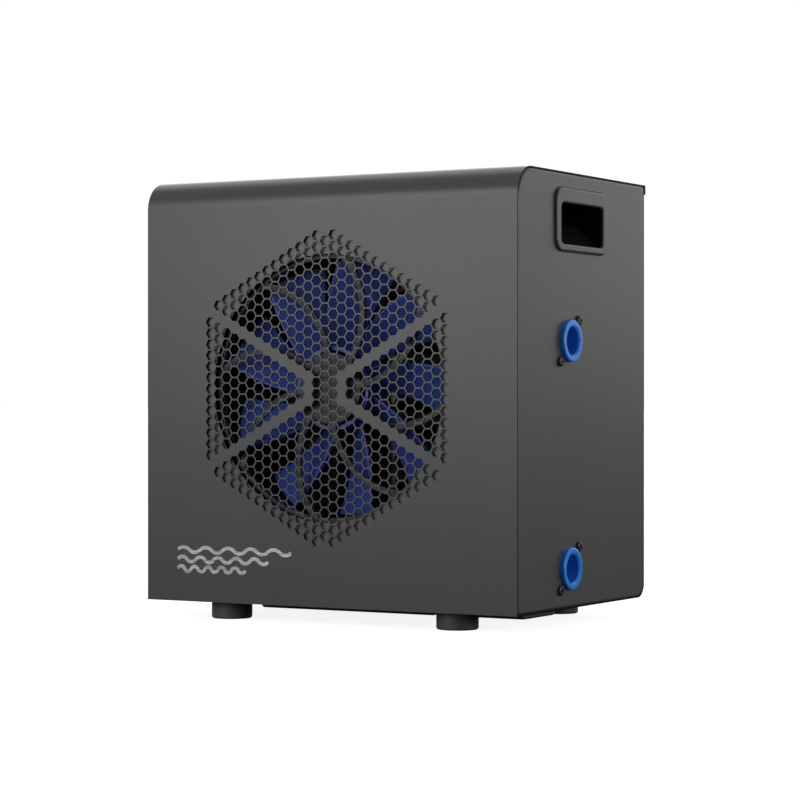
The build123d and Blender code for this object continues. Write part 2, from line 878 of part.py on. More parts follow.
for button_name, button_place in zip(button_names, button_places):
    with BuildPart() as button:
        with BuildSketch(level(plate_low - flange_thickness)):
            with Locations(button_place):
                Circle(button_diameter / 2)
        extrude(amount=flange_thickness + bezel_plate + button_proud)
        fillet(button.faces().sort_by(Axis.Z)[-1].edges(), button_round)
        with BuildSketch(level(plate_low - flange_thickness)):
            with Locations(button_place):
                Circle(button_diameter / 2 + button_flange)
        extrude(amount=flange_thickness)
    button.part.label = button_name
    export_step(button.part, f"parts/{button_name}.step")

# ---------------------------------------------------------------- fan shroud and bracket

shroud_front = inside_front + shroud_gap
shroud_margin = 4.0              # clear of the flanges and the pan's rim
shroud_rise = 30.0               # shroud above the electrical shelf
shroud_half_width = inside_side - side_flange - shroud_margin
shroud_low = inside_floor + pan_rim + shroud_margin
shroud_high = shelf_z + shroud_rise
opening_radius = shroud_high - fan_z - fan_border
disc_recess = 5.0                # bracket behind the shroud's plate
disc_front = shroud_front + disc_recess
disc_thickness = 3.0
bracket_depth = 6.0
bracket_ring_width = 3.2
bracket_fit = 0.2
bearing_outer = 16.0
bearing_width = 5.0
boss_radius = 11.0
boss_depth = 6.0
disc_back = disc_front + disc_thickness
spoke_sweep = 33.0
spoke_bow = 0.38                 # share of the sweep reached halfway out
spoke_turn = 5.0
spoke_root = 3.0                 # overlap of a spoke's root with the disc

with BuildPart() as fan_shroud:
    with BuildSketch(wall(shroud_front)):
        with Locations((0, (shroud_low + shroud_high) / 2)):
            Rectangle(2 * shroud_half_width, shroud_high - shroud_low)
    extrude(amount=shroud_gap)
    with BuildSketch(wall(shroud_front)):
        with Locations((0, (shroud_low + shroud_high) / 2)):
            Rectangle(
                2 * (shroud_half_width - shroud_sheet),
                shroud_high - shroud_low - 2 * shroud_sheet,
            )
    extrude(amount=shroud_gap, mode=Mode.SUBTRACT)
    with BuildSketch(wall(shroud_front)):
        with Locations((0, (shroud_low + shroud_high) / 2)):
            Rectangle(2 * shroud_half_width, shroud_high - shroud_low)
    extrude(amount=-shroud_sheet)
    with BuildSketch(wall(shroud_front)):
        with Locations((0, fan_z)):
            Circle(opening_radius + shroud_sheet)
    extrude(amount=-duct_depth)
    with BuildSketch(wall(shroud_front)):
        with Locations((0, fan_z)):
            Circle(opening_radius)
    extrude(amount=-duct_depth, mode=Mode.SUBTRACT)
fan_shroud.part.label = "fan_shroud"
export_step(fan_shroud.part, "parts/fan_shroud.step")

ring_outer = opening_radius - bracket_fit
ring_inner = ring_outer - bracket_ring_width


def spoke_line(turn):
    """Curved spoke from the disc to the ring, swept round as it goes out."""
    inner = bracket_disc / 2 - spoke_root
    outer = ring_inner + bracket_ring_width / 2
    middle = (inner + outer) / 2
    with BuildLine() as line:
        ThreePointArc(
            (inner * cos(radians(turn)), fan_z + inner * sin(radians(turn))),
            (
                middle * cos(radians(turn + spoke_sweep * spoke_bow)),
                fan_z + middle * sin(radians(turn + spoke_sweep * spoke_bow)),
            ),
            (
                outer * cos(radians(turn + spoke_sweep)),
                fan_z + outer * sin(radians(turn + spoke_sweep)),
            ),
        )
    return line.line


with BuildPart() as fan_bracket:
    with BuildSketch(wall(disc_front)):
        with Locations((0, fan_z)):
            Circle(ring_outer)
            Circle(ring_inner, mode=Mode.SUBTRACT)
    extrude(amount=-bracket_depth)
    with BuildSketch(wall(disc_front)):
        for n in range(spoke_count):
            trace(spoke_line(spoke_turn + n * 360 / spoke_count), spoke_width)
        with Locations((0, fan_z)):
            Circle(bracket_disc / 2)
            Circle(ring_outer, mode=Mode.INTERSECT)
    extrude(amount=-disc_thickness)
    with BuildSketch(wall(disc_back)):
        with Locations((0, fan_z)):
            Circle(boss_radius)
    extrude(amount=-boss_depth)
    with BuildSketch(wall(disc_back + boss_depth)):
        with Locations((0, fan_z)):
            Circle(bearing_outer / 2)
    extrude(amount=bearing_width, mode=Mode.SUBTRACT)
fan_bracket.part.label = "fan_bracket"
export_step(fan_bracket.part, "parts/fan_bracket.step")

# ---------------------------------------------------------------- fan motor

motor_wall = 2.0
motor_back = disc_back + motor_length
motor_boss_depth = 7.0
motor_round = 2.0
motor_seat = 1.0                 # depth of the housing's inner step
stator_inner = 30.0
stator_yoke = 5.0
stator_teeth = 9
tooth_length = 8.0
tooth_width = 5.0
stator_end_gap = 1.0
stator_boss_overlap = 3.0
rotor_shortening = 4.0
rotor_gap = 0.5
stator_front = disc_back + boss_depth + stator_end_gap
stator_back = motor_back - motor_wall - motor_boss_depth + stator_boss_overlap
front_bearing_y = disc_back + boss_depth - bearing_width
rear_bearing_y = motor_back - bearing_width

with BuildPart() as motor_housing:
    with BuildSketch(wall(disc_back)):
        with Locations((0, fan_z)):
            Circle(motor_diameter / 2)
    extrude(amount=-motor_length)
    fillet(motor_housing.faces().sort_by(Axis.Y)[-1].edges(), motor_round)
    with BuildSketch(wall(disc_back)):
        with Locations((0, fan_z)):
            Circle(motor_diameter / 2 - motor_wall)
    extrude(amount=-(motor_length - motor_wall - motor_seat), mode=Mode.SUBTRACT)
    with BuildSketch(wall(motor_back)):
        with Locations((0, fan_z)):
            Circle(boss_radius)
    extrude(amount=motor_boss_depth)
    with BuildSketch(wall(motor_back)):
        with Locations((0, fan_z)):
            Circle(bearing_outer / 2)
    extrude(amount=motor_boss_depth, mode=Mode.SUBTRACT)
motor_housing.part.label = "motor_housing"
export_step(motor_housing.part, "parts/motor_housing.step")

with BuildPart() as motor_stator:
    with BuildSketch(wall(stator_front)):
        with Locations((0, fan_z)):
            Circle(motor_diameter / 2 - motor_wall)
            Circle(motor_diameter / 2 - motor_wall - stator_yoke, mode=Mode.SUBTRACT)
            with PolarLocations(stator_inner / 2, stator_teeth):
                Rectangle(tooth_length, tooth_width, align=(Align.MIN, Align.CENTER))
            Circle(stator_inner / 2, mode=Mode.SUBTRACT)
    extrude(amount=-(stator_back - stator_front))
motor_stator.part.label = "motor_stator"
export_step(motor_stator.part, "parts/motor_stator.step")

with BuildPart() as motor_bearings:
    for bearing_y in (front_bearing_y, rear_bearing_y):
        with BuildSketch(wall(bearing_y)):
            with Locations((0, fan_z)):
                Circle(bearing_outer / 2)
                Circle(shaft_diameter / 2 + running_clearance, mode=Mode.SUBTRACT)
        extrude(amount=-bearing_width)
motor_bearings.part.label = "motor_bearings"
export_step(motor_bearings.part, "parts/motor_bearings.step")

# ---------------------------------------------------------------- impeller and shaft

hub_wall = 3.0
hub_front_gap = 1.5
hub_front = disc_back + hub_front_gap
hub_gap = 3.0
hub_inner_back = motor_back + hub_gap
hub_back = hub_inner_back + hub_wall
nut_width = 13.0
nut_thickness = 6.5
shaft_inset = 0.5
shaft_end = 2.0                  # shaft past its nut
shaft_chamfer = 0.5
blade_gap = 2.0                  # blades behind the bracket
blade_root = 2.0                 # blades reach into the hub
blade_overrun = 6.0              # last section, outside the trimmed tip
shaft_front = front_bearing_y + shaft_inset
shaft_back = hub_back + nut_thickness + shaft_end
blade_front = disc_front + bracket_depth + blade_gap
blade_tip = opening_radius - blade_tip_clearance
blade_thickness = 2.6
blade_turn = 4.0                 # first blade's angle above +X
blade_sections = [
    # radius, chord, angle to the fan's plane, swing round the hub
    (hub_diameter / 2 - blade_root, 26.0, -48.0, 6.0),
    ((hub_diameter / 2 + blade_tip) / 2, 41.0, -36.0, -1.0),
    (blade_tip + blade_overrun, 58.0, -26.0, -20.0),
]
blade_depth = hub_back - blade_front
blade_middle_y = blade_front + blade_depth / 2

with BuildPart() as fan_shaft:
    with BuildSketch(wall(shaft_front)):
        with Locations((0, fan_z)):
            Circle(shaft_diameter / 2)
    extrude(amount=-(shaft_back - shaft_front))
    chamfer(fan_shaft.edges(), shaft_chamfer)
fan_shaft.part.label = "fan_shaft"
export_step(fan_shaft.part, "parts/fan_shaft.step")

with BuildPart() as motor_rotor:
    with BuildSketch(wall(stator_front)):
        with Locations((0, fan_z)):
            Circle(stator_inner / 2 - rotor_gap)
            Circle(shaft_diameter / 2, mode=Mode.SUBTRACT)
    extrude(amount=-(stator_back - stator_front - rotor_shortening))
motor_rotor.part.label = "motor_rotor"
export_step(motor_rotor.part, "parts/motor_rotor.step")


def blade():
    """One blade reaching along +X from the hub, twisted flatter towards its tip."""
    with BuildPart() as shape:
        for radius, chord, pitch_angle, swing in blade_sections:
            with BuildSketch(flank(radius)):
                with Locations((blade_middle_y, fan_z + swing)):
                    SlotOverall(chord, blade_thickness, rotation=90 - pitch_angle)
        loft()
    return shape.part


blade_shape = blade()

with BuildPart() as impeller:
    for n in range(blade_count):
        blade_angle = blade_turn + n * 360 / blade_count
        add(blade_shape.rotate(Axis((0, 0, fan_z), (0, -1, 0)), blade_angle))
    with BuildSketch(wall(blade_front)):
        with Locations((0, fan_z)):
            Circle(blade_tip)
    extrude(amount=-blade_depth, mode=Mode.INTERSECT)
    with BuildSketch(wall(hub_front)):
        with Locations((0, fan_z)):
            Circle(hub_diameter / 2)
    extrude(amount=-(hub_back - hub_front))
    with BuildSketch(wall(hub_front)):
        with Locations((0, fan_z)):
            Circle(hub_diameter / 2 - hub_wall)
    extrude(amount=-(hub_inner_back - hub_front), mode=Mode.SUBTRACT)
    with BuildSketch(wall(hub_inner_back)):
        with Locations((0, fan_z)):
            Circle(shaft_diameter / 2)
    extrude(amount=-2 * hub_wall, mode=Mode.SUBTRACT)
impeller.part.label = "impeller"
export_step(impeller.part, "parts/impeller.step")

with BuildPart() as impeller_nut:
    with BuildSketch(wall(hub_back)):
        with Locations((0, fan_z)):
            RegularPolygon(nut_width / 2, 6, major_radius=False)
            Circle(shaft_diameter / 2, mode=Mode.SUBTRACT)
    extrude(amount=-nut_thickness)
impeller_nut.part.label = "impeller_nut"
export_step(impeller_nut.part, "parts/impeller_nut.step")

# ---------------------------------------------------------------- water heat exchanger

exchanger_wall = 3.0
exchanger_low = inside_floor + pan_sheet
exchanger_top_margin = 22.0      # shell above the upper port's axis
exchanger_high = port_z_high + exchanger_top_margin
exchanger_round = 8.0
shell_band_width = 6.0
shell_band_proud = 1.5
shell_band_low = 40.0
shell_band_high = 24.0
exchanger_foot = 92.0
exchanger_foot_height = 4.0
fitting_flange = 4.0
fitting_stub = 30.0
fitting_stub_length = 8.0
fitting_end = inside_side - fitting_flange - fitting_stub_length
winding_radius = 26.0
winding_pitch = 14.0
winding_low_gap = 24.0
winding_high_gap = 14.0
winding_low = exchanger_low + winding_low_gap
winding_turns = int((exchanger_high - winding_high_gap - winding_low) // winding_pitch)
winding_high = winding_low + winding_turns * winding_pitch
winding_y = port_y + winding_radius
tail_reach = 6.0
brazed_joint = 0.5
tail_back = port_y + exchanger_diameter / 2 + tail_reach
tail_top = exchanger_high + tail_reach

with BuildPart() as exchanger_shell:
    with BuildSketch(level(exchanger_low)):
        with Locations((exchanger_x, port_y)):
            Circle(exchanger_diameter / 2)
    extrude(amount=exchanger_high - exchanger_low)
    fillet(exchanger_shell.faces().sort_by(Axis.Z)[-1].edges(), exchanger_round)
    with BuildSketch(level(exchanger_low)):
        with Locations((exchanger_x, port_y)):
            Circle(exchanger_foot / 2)
    extrude(amount=exchanger_foot_height)
    for shell_band_z in (exchanger_low + shell_band_low, exchanger_high - shell_band_high):
        with BuildSketch(level(shell_band_z)):
            with Locations((exchanger_x, port_y)):
                Circle(exchanger_diameter / 2 + shell_band_proud)
        extrude(amount=shell_band_width)
    with BuildSketch(flank(exchanger_x)):
        with Locations(*port_middles):
            Circle(port_ring / 2)
    extrude(amount=fitting_end - exchanger_x)
    with BuildSketch(level(exchanger_low + exchanger_wall)):
        with Locations((exchanger_x, port_y)):
            Circle(exchanger_diameter / 2 - exchanger_wall)
    extrude(amount=exchanger_high - exchanger_low - 2 * exchanger_wall, mode=Mode.SUBTRACT)
    with BuildSketch(flank(exchanger_x)):
        with Locations(*port_middles):
            Circle(port_bore / 2)
    extrude(amount=exchanger_diameter, mode=Mode.SUBTRACT)
    with BuildSketch(wall(winding_y)):
        with Locations((exchanger_x, winding_low)):
            Circle(discharge_diameter / 2 + screw_clearance)
    extrude(amount=-exchanger_diameter, mode=Mode.SUBTRACT)
    with BuildSketch(level(winding_high)):
        with Locations((exchanger_x, winding_y)):
            Circle(discharge_diameter / 2 + screw_clearance)
    extrude(amount=exchanger_diameter, mode=Mode.SUBTRACT)
exchanger_shell.part.label = "exchanger_shell"
export_step(exchanger_shell.part, "parts/exchanger_shell.step")

winding_start = Plane(
    origin=(exchanger_x, port_y, winding_low), x_dir=(0, 1, 0), z_dir=(0, 0, 1)
)

with BuildPart() as exchanger_coil:
    with BuildLine(winding_start) as winding:
        Helix(winding_pitch, winding_turns * winding_pitch, winding_radius)
    with BuildSketch(Plane(origin=winding.line @ 0, z_dir=winding.line % 0)):
        Circle(discharge_diameter / 2)
    sweep(is_frenet=True)
    for joint_z in (winding_low, winding_high):
        with Locations((exchanger_x, winding_y, joint_z)):
            Sphere(discharge_diameter / 2 + brazed_joint)
    with BuildSketch(wall(winding_y)):
        with Locations((exchanger_x, winding_low)):
            Circle(discharge_diameter / 2)
    extrude(amount=-(tail_back - winding_y))
    with BuildSketch(level(winding_high)):
        with Locations((exchanger_x, winding_y)):
            Circle(discharge_diameter / 2)
    extrude(amount=tail_top - winding_high)
exchanger_coil.part.label = "exchanger_coil"
export_step(exchanger_coil.part, "parts/exchanger_coil.step")

fitting_ear = 15.0
fitting_rim = 4.0                # inner flange wider than the ring all round
fitting_round = 1.2
mouth_chamfer = 1.4
fitting_flange_arm = 2 * sqrt(2) * port_screw_reach + fitting_ear

for fitting_name, fitting_z in (
    ("water_inlet_fitting", port_z_low),
    ("water_outlet_fitting", port_z_high),
):
    with BuildPart() as fitting:
        with BuildSketch(flank(inside_side)):
            with Locations((port_y, fitting_z)):
                Circle(port_ring / 2)
        extrude(amount=sheet + port_proud)
        fillet(fitting.faces().sort_by(Axis.X)[-1].edges(), fitting_round)
        with BuildSketch(flank(inside_side)):
            with Locations((port_y, fitting_z)):
                Circle(port_ring / 2 + fitting_rim)
                SlotOverall(fitting_flange_arm, fitting_ear, rotation=45)
        extrude(amount=-fitting_flange)
        with BuildSketch(flank(fitting_end)):
            with Locations((port_y, fitting_z)):
                Circle(fitting_stub / 2)
        extrude(amount=fitting_stub_length)
        with BuildSketch(flank(fitting_end)):
            with Locations((port_y, fitting_z)):
                Circle(port_bore / 2)
        extrude(amount=side_x, mode=Mode.SUBTRACT)
        mouth = fitting.faces().sort_by(Axis.X)[-1].edges().sort_by(SortBy.LENGTH)[0]
        chamfer(mouth, mouth_chamfer)
        with BuildSketch(flank(inside_side)):
            with Locations(*[(y, z) for y, z in port_screws if abs(z - fitting_z) < port_ring]):
                Circle(screw_shank / 2 + screw_clearance / 2)
        extrude(amount=-fitting_flange, mode=Mode.SUBTRACT)
    fitting.part.label = fitting_name
    export_step(fitting.part, f"parts/{fitting_name}.step")

# ---------------------------------------------------------------- compressor

compressor_x = -side_x + compressor_offset
compressor_y = 8.0
grommet_height = 10.0
grommet_diameter = 18.0
grommet_bore = 6.4
lug_thickness = 4.0
lug_reach = 66.0
lug_radius = 9.0
lug_angles = (30, 150, 270)
lug_low = inside_floor + pan_sheet + grommet_height
compressor_low = lug_low + lug_thickness
compressor_high = shelf_z - pipe_space
suction_stub_rise = 32.0
suction_drop = 32.0              # accumulator above the compressor's inlet
suction_stub_z = compressor_low + suction_stub_rise
stub_reach = 6.0
stub_wall = 1.5
stub_root = 4.0
discharge_shift = 18.0
discharge_rise = 8.0
terminal_shift = 14.0
terminal_width = 28.0
terminal_length = 20.0
terminal_height = 18.0
terminal_corner = 5.0
terminal_round = 3.0
can_top_round = 24.0
can_low_round = 10.0
can_band_drop = 46.0
can_band_width = 5.0
can_band_proud = 1.5
grommet_nut = 11.0
grommet_nut_height = 4.0
suction_stub_x = compressor_x - compressor_diameter / 2 - stub_reach
discharge_y = compressor_y + discharge_shift
discharge_stub = compressor_high + discharge_rise
terminal_y = compressor_y - terminal_shift
lug_places = [
    (compressor_x + lug_reach * cos(radians(a)), compressor_y + lug_reach * sin(radians(a)))
    for a in lug_angles
]

with BuildPart() as compressor:
    with BuildSketch(level(compressor_low)):
        with Locations((compressor_x, compressor_y)):
            Circle(compressor_diameter / 2)
    extrude(amount=compressor_high - compressor_low)
    fillet(compressor.faces().sort_by(Axis.Z)[-1].edges(), can_top_round)
    fillet(compressor.faces().sort_by(Axis.Z)[0].edges(), can_low_round)
    with BuildSketch(level(compressor_high - can_band_drop)):
        with Locations((compressor_x, compressor_y)):
            Circle(compressor_diameter / 2 + can_band_proud)
    extrude(amount=can_band_width)
    with BuildSketch(level(lug_low)) as lugs:
        with Locations(*lug_places):
            Circle(lug_radius)
        make_hull()
        with Locations(*lug_places):
            Circle(grommet_bore / 2, mode=Mode.SUBTRACT)
    extrude(amount=lug_thickness)
    with BuildSketch(flank(compressor_x)):
        with Locations((compressor_y, suction_stub_z)):
            Circle(suction_diameter / 2 + stub_wall)
    extrude(amount=suction_stub_x - compressor_x)
    with BuildSketch(level(compressor_high - stub_root)):
        with Locations((compressor_x, discharge_y)):
            Circle(discharge_diameter / 2 + stub_wall)
    extrude(amount=discharge_stub - compressor_high + stub_root)
compressor.part.label = "compressor"
export_step(compressor.part, "parts/compressor.step")

with BuildPart() as terminal_cover:
    with BuildSketch(level(compressor_high)):
        with Locations((compressor_x, terminal_y)):
            RectangleRounded(terminal_width, terminal_length, terminal_corner)
    extrude(amount=terminal_height)
    fillet(terminal_cover.faces().sort_by(Axis.Z)[-1].edges(), terminal_round)
terminal_cover.part.label = "terminal_cover"
export_step(terminal_cover.part, "parts/terminal_cover.step")

with BuildPart() as compressor_grommets:
    with BuildSketch(level(inside_floor + pan_sheet)):
        with Locations(*lug_places):
            Circle(grommet_diameter / 2)
            Circle(grommet_bore / 2, mode=Mode.SUBTRACT)
    extrude(amount=grommet_height)
compressor_grommets.part.label = "compressor_grommets"
export_step(compressor_grommets.part, "parts/compressor_grommets.step")

with BuildPart() as compressor_bolts:
    with BuildSketch(level(inside_floor + pan_sheet)):
        with Locations(*lug_places):
            Circle(grommet_bore / 2 - screw_clearance)
    extrude(amount=grommet_height + lug_thickness)
    with BuildSketch(level(compressor_low)):
        with Locations(*lug_places):
            RegularPolygon(grommet_nut / 2, 6, major_radius=False)
    extrude(amount=grommet_nut_height)
compressor_bolts.part.label = "compressor_bolts"
export_step(compressor_bolts.part, "parts/compressor_bolts.step")

# ---------------------------------------------------------------- accumulator and pipes

coil_left = -side_x + coil_left_gap
coil_right = side_x - coil_right_gap
coil_back = back_y - coil_back_gap
coil_front = coil_back - coil_depth
tube_y = (coil_front + coil_back) / 2
tube_count = 2 * int(guard_height // (2 * tube_pitch))
tube_rows = [guard_z + (n - (tube_count - 1) / 2) * tube_pitch for n in range(tube_count)]
suction_run_drop = 12.0          # suction run below the shelf
suction_row_drop = 20.0          # and below the coil's top tube
accumulator_neck = 8.0
accumulator_round = 14.0
accumulator_x = -side_x + accumulator_offset
accumulator_low = suction_stub_z + suction_drop
suction_run_z = min(shelf_z - suction_run_drop, tube_rows[-1] - suction_row_drop)
accumulator_high = suction_run_z - accumulator_headroom
accumulator_top = accumulator_high + accumulator_neck


def copper_pipe(points, bend, diameter):
    """Hollow pipe along points with rounded bends."""
    with BuildPart() as pipe:
        with BuildLine() as route:
            FilletPolyline(*points, radius=bend)
        with BuildSketch(Plane(origin=route.line @ 0, z_dir=route.line % 0)):
            Circle(diameter / 2)
            Circle(diameter / 2 - min(copper_wall, diameter / 4), mode=Mode.SUBTRACT)
        sweep()
    return pipe.part


outlet_tube = copper_pipe(
    [
        (accumulator_x, compressor_y, accumulator_low + 1),
        (accumulator_x, compressor_y, suction_stub_z),
        (suction_stub_x, compressor_y, suction_stub_z),
    ],
    12,
    suction_diameter,
)

with BuildPart() as accumulator:
    with BuildSketch(level(accumulator_low)):
        with Locations((accumulator_x, compressor_y)):
            Circle(accumulator_diameter / 2)
    extrude(amount=accumulator_high - accumulator_low)
    fillet(accumulator.faces().sort_by(Axis.Z)[-1].edges(), accumulator_round)
    fillet(accumulator.faces().sort_by(Axis.Z)[0].edges(), accumulator_round)
    with BuildSketch(level(accumulator_high - 2)):
        with Locations((accumulator_x, compressor_y)):
            Circle(suction_diameter / 2)
    extrude(amount=accumulator_top - accumulator_high + 2)
    add(outlet_tube)
accumulator.part.label = "accumulator"
export_step(accumulator.part, "parts/accumulator.step")

# ---------------------------------------------------------------- evaporator

end_plate = 1.5
tube_fit = 0.1
return_bend = tube_pitch / 2 * 0.98
bend_reach = return_bend + 1.0
stub_x = coil_left - bend_reach
fin_count = int((coil_right - coil_left - 2 * end_plate) // fin_pitch)
fin_start = (coil_left + coil_right) / 2 - (fin_count - 1) / 2 * fin_pitch

with BuildPart() as one_fin:
    with BuildSketch(flank(0)):
        with Locations((tube_y, guard_z)):
            Rectangle(coil_depth, guard_height)
        with Locations(*[(tube_y, z) for z in tube_rows]):
            Circle(tube_diameter / 2 + tube_fit, mode=Mode.SUBTRACT)
    extrude(amount=fin_thickness / 2, both=True)

with BuildPart() as evaporator_fins:
    with Locations(*[(fin_start + n * fin_pitch, 0, 0) for n in range(fin_count)]):
        add(one_fin.part, clean=False)
evaporator_fins.part.label = "evaporator_fins"
export_step(evaporator_fins.part, "parts/evaporator_fins.step")

with BuildPart() as evaporator_end_plates:
    for plate_x, outward in ((coil_left, 1), (coil_right, -1)):
        with BuildSketch(flank(plate_x)):
            with Locations(((coil_front - 1 + inside_back) / 2, guard_z)):
                Rectangle(inside_back - coil_front + 1, guard_height)
            with Locations(*[(tube_y, z) for z in tube_rows]):
                Circle(tube_diameter / 2 + tube_fit, mode=Mode.SUBTRACT)
        extrude(amount=outward * end_plate)
        with BuildSketch(wall(inside_back)):
            with Locations((plate_x - outward * 4, guard_z)):
                Rectangle(8, guard_height)
        extrude(amount=end_plate)
evaporator_end_plates.part.label = "evaporator_end_plates"
export_step(evaporator_end_plates.part, "parts/evaporator_end_plates.step")

serpentine = [(stub_x, tube_y, tube_rows[0])]
for n, row_z in enumerate(tube_rows[:-1]):
    turn_x = coil_right + bend_reach if n % 2 == 0 else coil_left - bend_reach
    serpentine += [(turn_x, tube_y, row_z), (turn_x, tube_y, tube_rows[n + 1])]
serpentine.append((stub_x, tube_y, tube_rows[-1]))

with BuildPart() as evaporator_tubes:
    add(copper_pipe(serpentine, return_bend, tube_diameter))
evaporator_tubes.part.label = "evaporator_tubes"
export_step(evaporator_tubes.part, "parts/evaporator_tubes.step")

# ---------------------------------------------------------------- refrigerant pipes

discharge_run_z = shelf_z - 16.6
drier_y = tail_back + 44
drier_diameter = 20.0
drier_right = compressor_x + compressor_diameter / 2 + 74
drier_left = drier_right - 70
capillary_x = stub_x - 14
capillary_run_y = coil_front - 10
pipe_bend = 9.0
capillary_bend = 5.0

with BuildPart() as suction_pipe:
    add(
        copper_pipe(
            [
                (stub_x, tube_y, tube_rows[-1]),
                (accumulator_x, tube_y, tube_rows[-1]),
                (accumulator_x, tube_y, suction_run_z),
                (accumulator_x, compressor_y, suction_run_z),
                (accumulator_x, compressor_y, accumulator_top),
            ],
            pipe_bend,
            suction_diameter,
        )
    )
suction_pipe.part.label = "suction_pipe"
export_step(suction_pipe.part, "parts/suction_pipe.step")

with BuildPart() as discharge_pipe:
    add(
        copper_pipe(
            [
                (compressor_x, discharge_y, discharge_stub),
                (compressor_x, discharge_y, discharge_run_z),
                (exchanger_x, discharge_y, discharge_run_z),
                (exchanger_x, winding_y, discharge_run_z),
                (exchanger_x, winding_y, tail_top),
            ],
            pipe_bend,
            discharge_diameter,
        )
    )
discharge_pipe.part.label = "discharge_pipe"
export_step(discharge_pipe.part, "parts/discharge_pipe.step")

with BuildPart() as liquid_pipe:
    add(
        copper_pipe(
            [
                (exchanger_x, tail_back, winding_low),
                (exchanger_x, drier_y, winding_low),
                (drier_right, drier_y, winding_low),
            ],
            pipe_bend,
            liquid_diameter,
        )
    )
liquid_pipe.part.label = "liquid_pipe"
export_step(liquid_pipe.part, "parts/liquid_pipe.step")

with BuildPart() as filter_drier:
    with BuildSketch(flank(drier_left)):
        with Locations((drier_y, winding_low)):
            Circle(liquid_diameter / 2 + 1)
    extrude(amount=drier_right - drier_left)
    with BuildSketch(flank(drier_left + 6)):
        with Locations((drier_y, winding_low)):
            Circle(drier_diameter / 2)
    extrude(amount=drier_right - drier_left - 12)
    shoulders = filter_drier.edges().filter_by(GeomType.CIRCLE)
    chamfer([e for e in shoulders if abs(e.radius - drier_diameter / 2) < 0.01], 5)
filter_drier.part.label = "filter_drier"
export_step(filter_drier.part, "parts/filter_drier.step")

with BuildPart() as capillary_tube:
    add(
        copper_pipe(
            [
                (drier_left, drier_y, winding_low),
                (drier_left - 16, drier_y, winding_low),
                (drier_left - 16, capillary_run_y, winding_low),
                (capillary_x, capillary_run_y, winding_low),
                (capillary_x, capillary_run_y, tube_rows[0]),
                (capillary_x, tube_y, tube_rows[0]),
                (stub_x, tube_y, tube_rows[0]),
            ],
            capillary_bend,
            capillary_diameter,
        )
    )
capillary_tube.part.label = "capillary_tube"
export_step(capillary_tube.part, "parts/capillary_tube.step")

# ---------------------------------------------------------------- electrical shelf

shelf_front = controller_y - 4
shelf_back = coil_front - 14
box_half_width = side_x - 75.8
box_front = shelf_front + 4
box_back = shelf_back - 4
box_height = 42.0
cover_fit = 0.2
board_stand = 6.0
board_right = box_half_width - 50
board_left = -box_half_width + 8
capacitor_diameter = 34.0
shelf_middle_y = (shelf_front + shelf_back) / 2
board_low = shelf_z + sheet + board_stand
board_middle = (board_left + board_right) / 2

with BuildPart() as electrical_box:
    with BuildSketch(level(shelf_z)):
        with Locations((0, shelf_middle_y)):
            Rectangle(2 * inside_side, shelf_back - shelf_front)
    extrude(amount=sheet)
    with BuildSketch(level(shelf_z)):
        with Locations((0, shelf_middle_y)):
            Rectangle(2 * box_half_width, box_back - box_front)
            Rectangle(
                2 * (box_half_width - sheet), box_back - box_front - 2 * sheet, mode=Mode.SUBTRACT
            )
    extrude(amount=box_height)
    with BuildSketch(level(shelf_z + sheet)):
        with Locations((board_middle, shelf_middle_y)):
            with GridLocations(board_right - board_left - 12, box_back - box_front - 24, 2, 2):
                Circle(3)
    extrude(amount=board_stand)
electrical_box.part.label = "electrical_box"
export_step(electrical_box.part, "parts/electrical_box.step")

with BuildPart() as electrical_cover:
    with BuildSketch(level(shelf_z + box_height)):
        with Locations((0, shelf_middle_y)):
            Rectangle(
                2 * (box_half_width + cover_fit + sheet),
                box_back - box_front + 2 * (cover_fit + sheet),
            )
    extrude(amount=sheet)
    with BuildSketch(level(shelf_z + box_height)):
        with Locations((0, shelf_middle_y)):
            Rectangle(
                2 * (box_half_width + cover_fit + sheet),
                box_back - box_front + 2 * (cover_fit + sheet),
            )
            Rectangle(
                2 * (box_half_width + cover_fit),
                box_back - box_front + 2 * cover_fit,
                mode=Mode.SUBTRACT,
            )
    extrude(amount=-8)
electrical_cover.part.label = "electrical_cover"
export_step(electrical_cover.part, "parts/electrical_cover.step")

with BuildPart() as control_board:
    with BuildSketch(level(board_low)):
        with Locations((board_middle, shelf_middle_y)):
            Rectangle(board_right - board_left, box_back - box_front - 16)
    extrude(amount=1.6)
    for part_x, part_y, part_width, part_length, part_height in (
        (board_left + 24, shelf_middle_y - 18, 30, 22, 16),
        (board_left + 24, shelf_middle_y + 18, 30, 22, 16),
        (board_left + 64, shelf_middle_y - 16, 20, 16, 20),
        (board_left + 64, shelf_middle_y + 18, 24, 24, 12),
        (board_right - 16, shelf_middle_y, 10, 60, 12),
    ):
        with BuildSketch(level(board_low + 1.6)):
            with Locations((part_x, part_y)):
                Rectangle(part_width, part_length)
        extrude(amount=part_height)
control_board.part.label = "control_board"
export_step(control_board.part, "parts/control_board.step")

with BuildPart() as run_capacitor:
    with BuildSketch(level(shelf_z + sheet)):
        with Locations((box_half_width - 24, shelf_middle_y)):
            Circle(capacitor_diameter / 2)
    extrude(amount=box_height - 8)
    fillet(run_capacitor.faces().sort_by(Axis.Z)[-1].edges(), 2)
run_capacitor.part.label = "run_capacitor"
export_step(run_capacitor.part, "parts/run_capacitor.step")
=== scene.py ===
"""Looks of the pool heat pump: materials for every piece, small details, studio and camera."""

import math

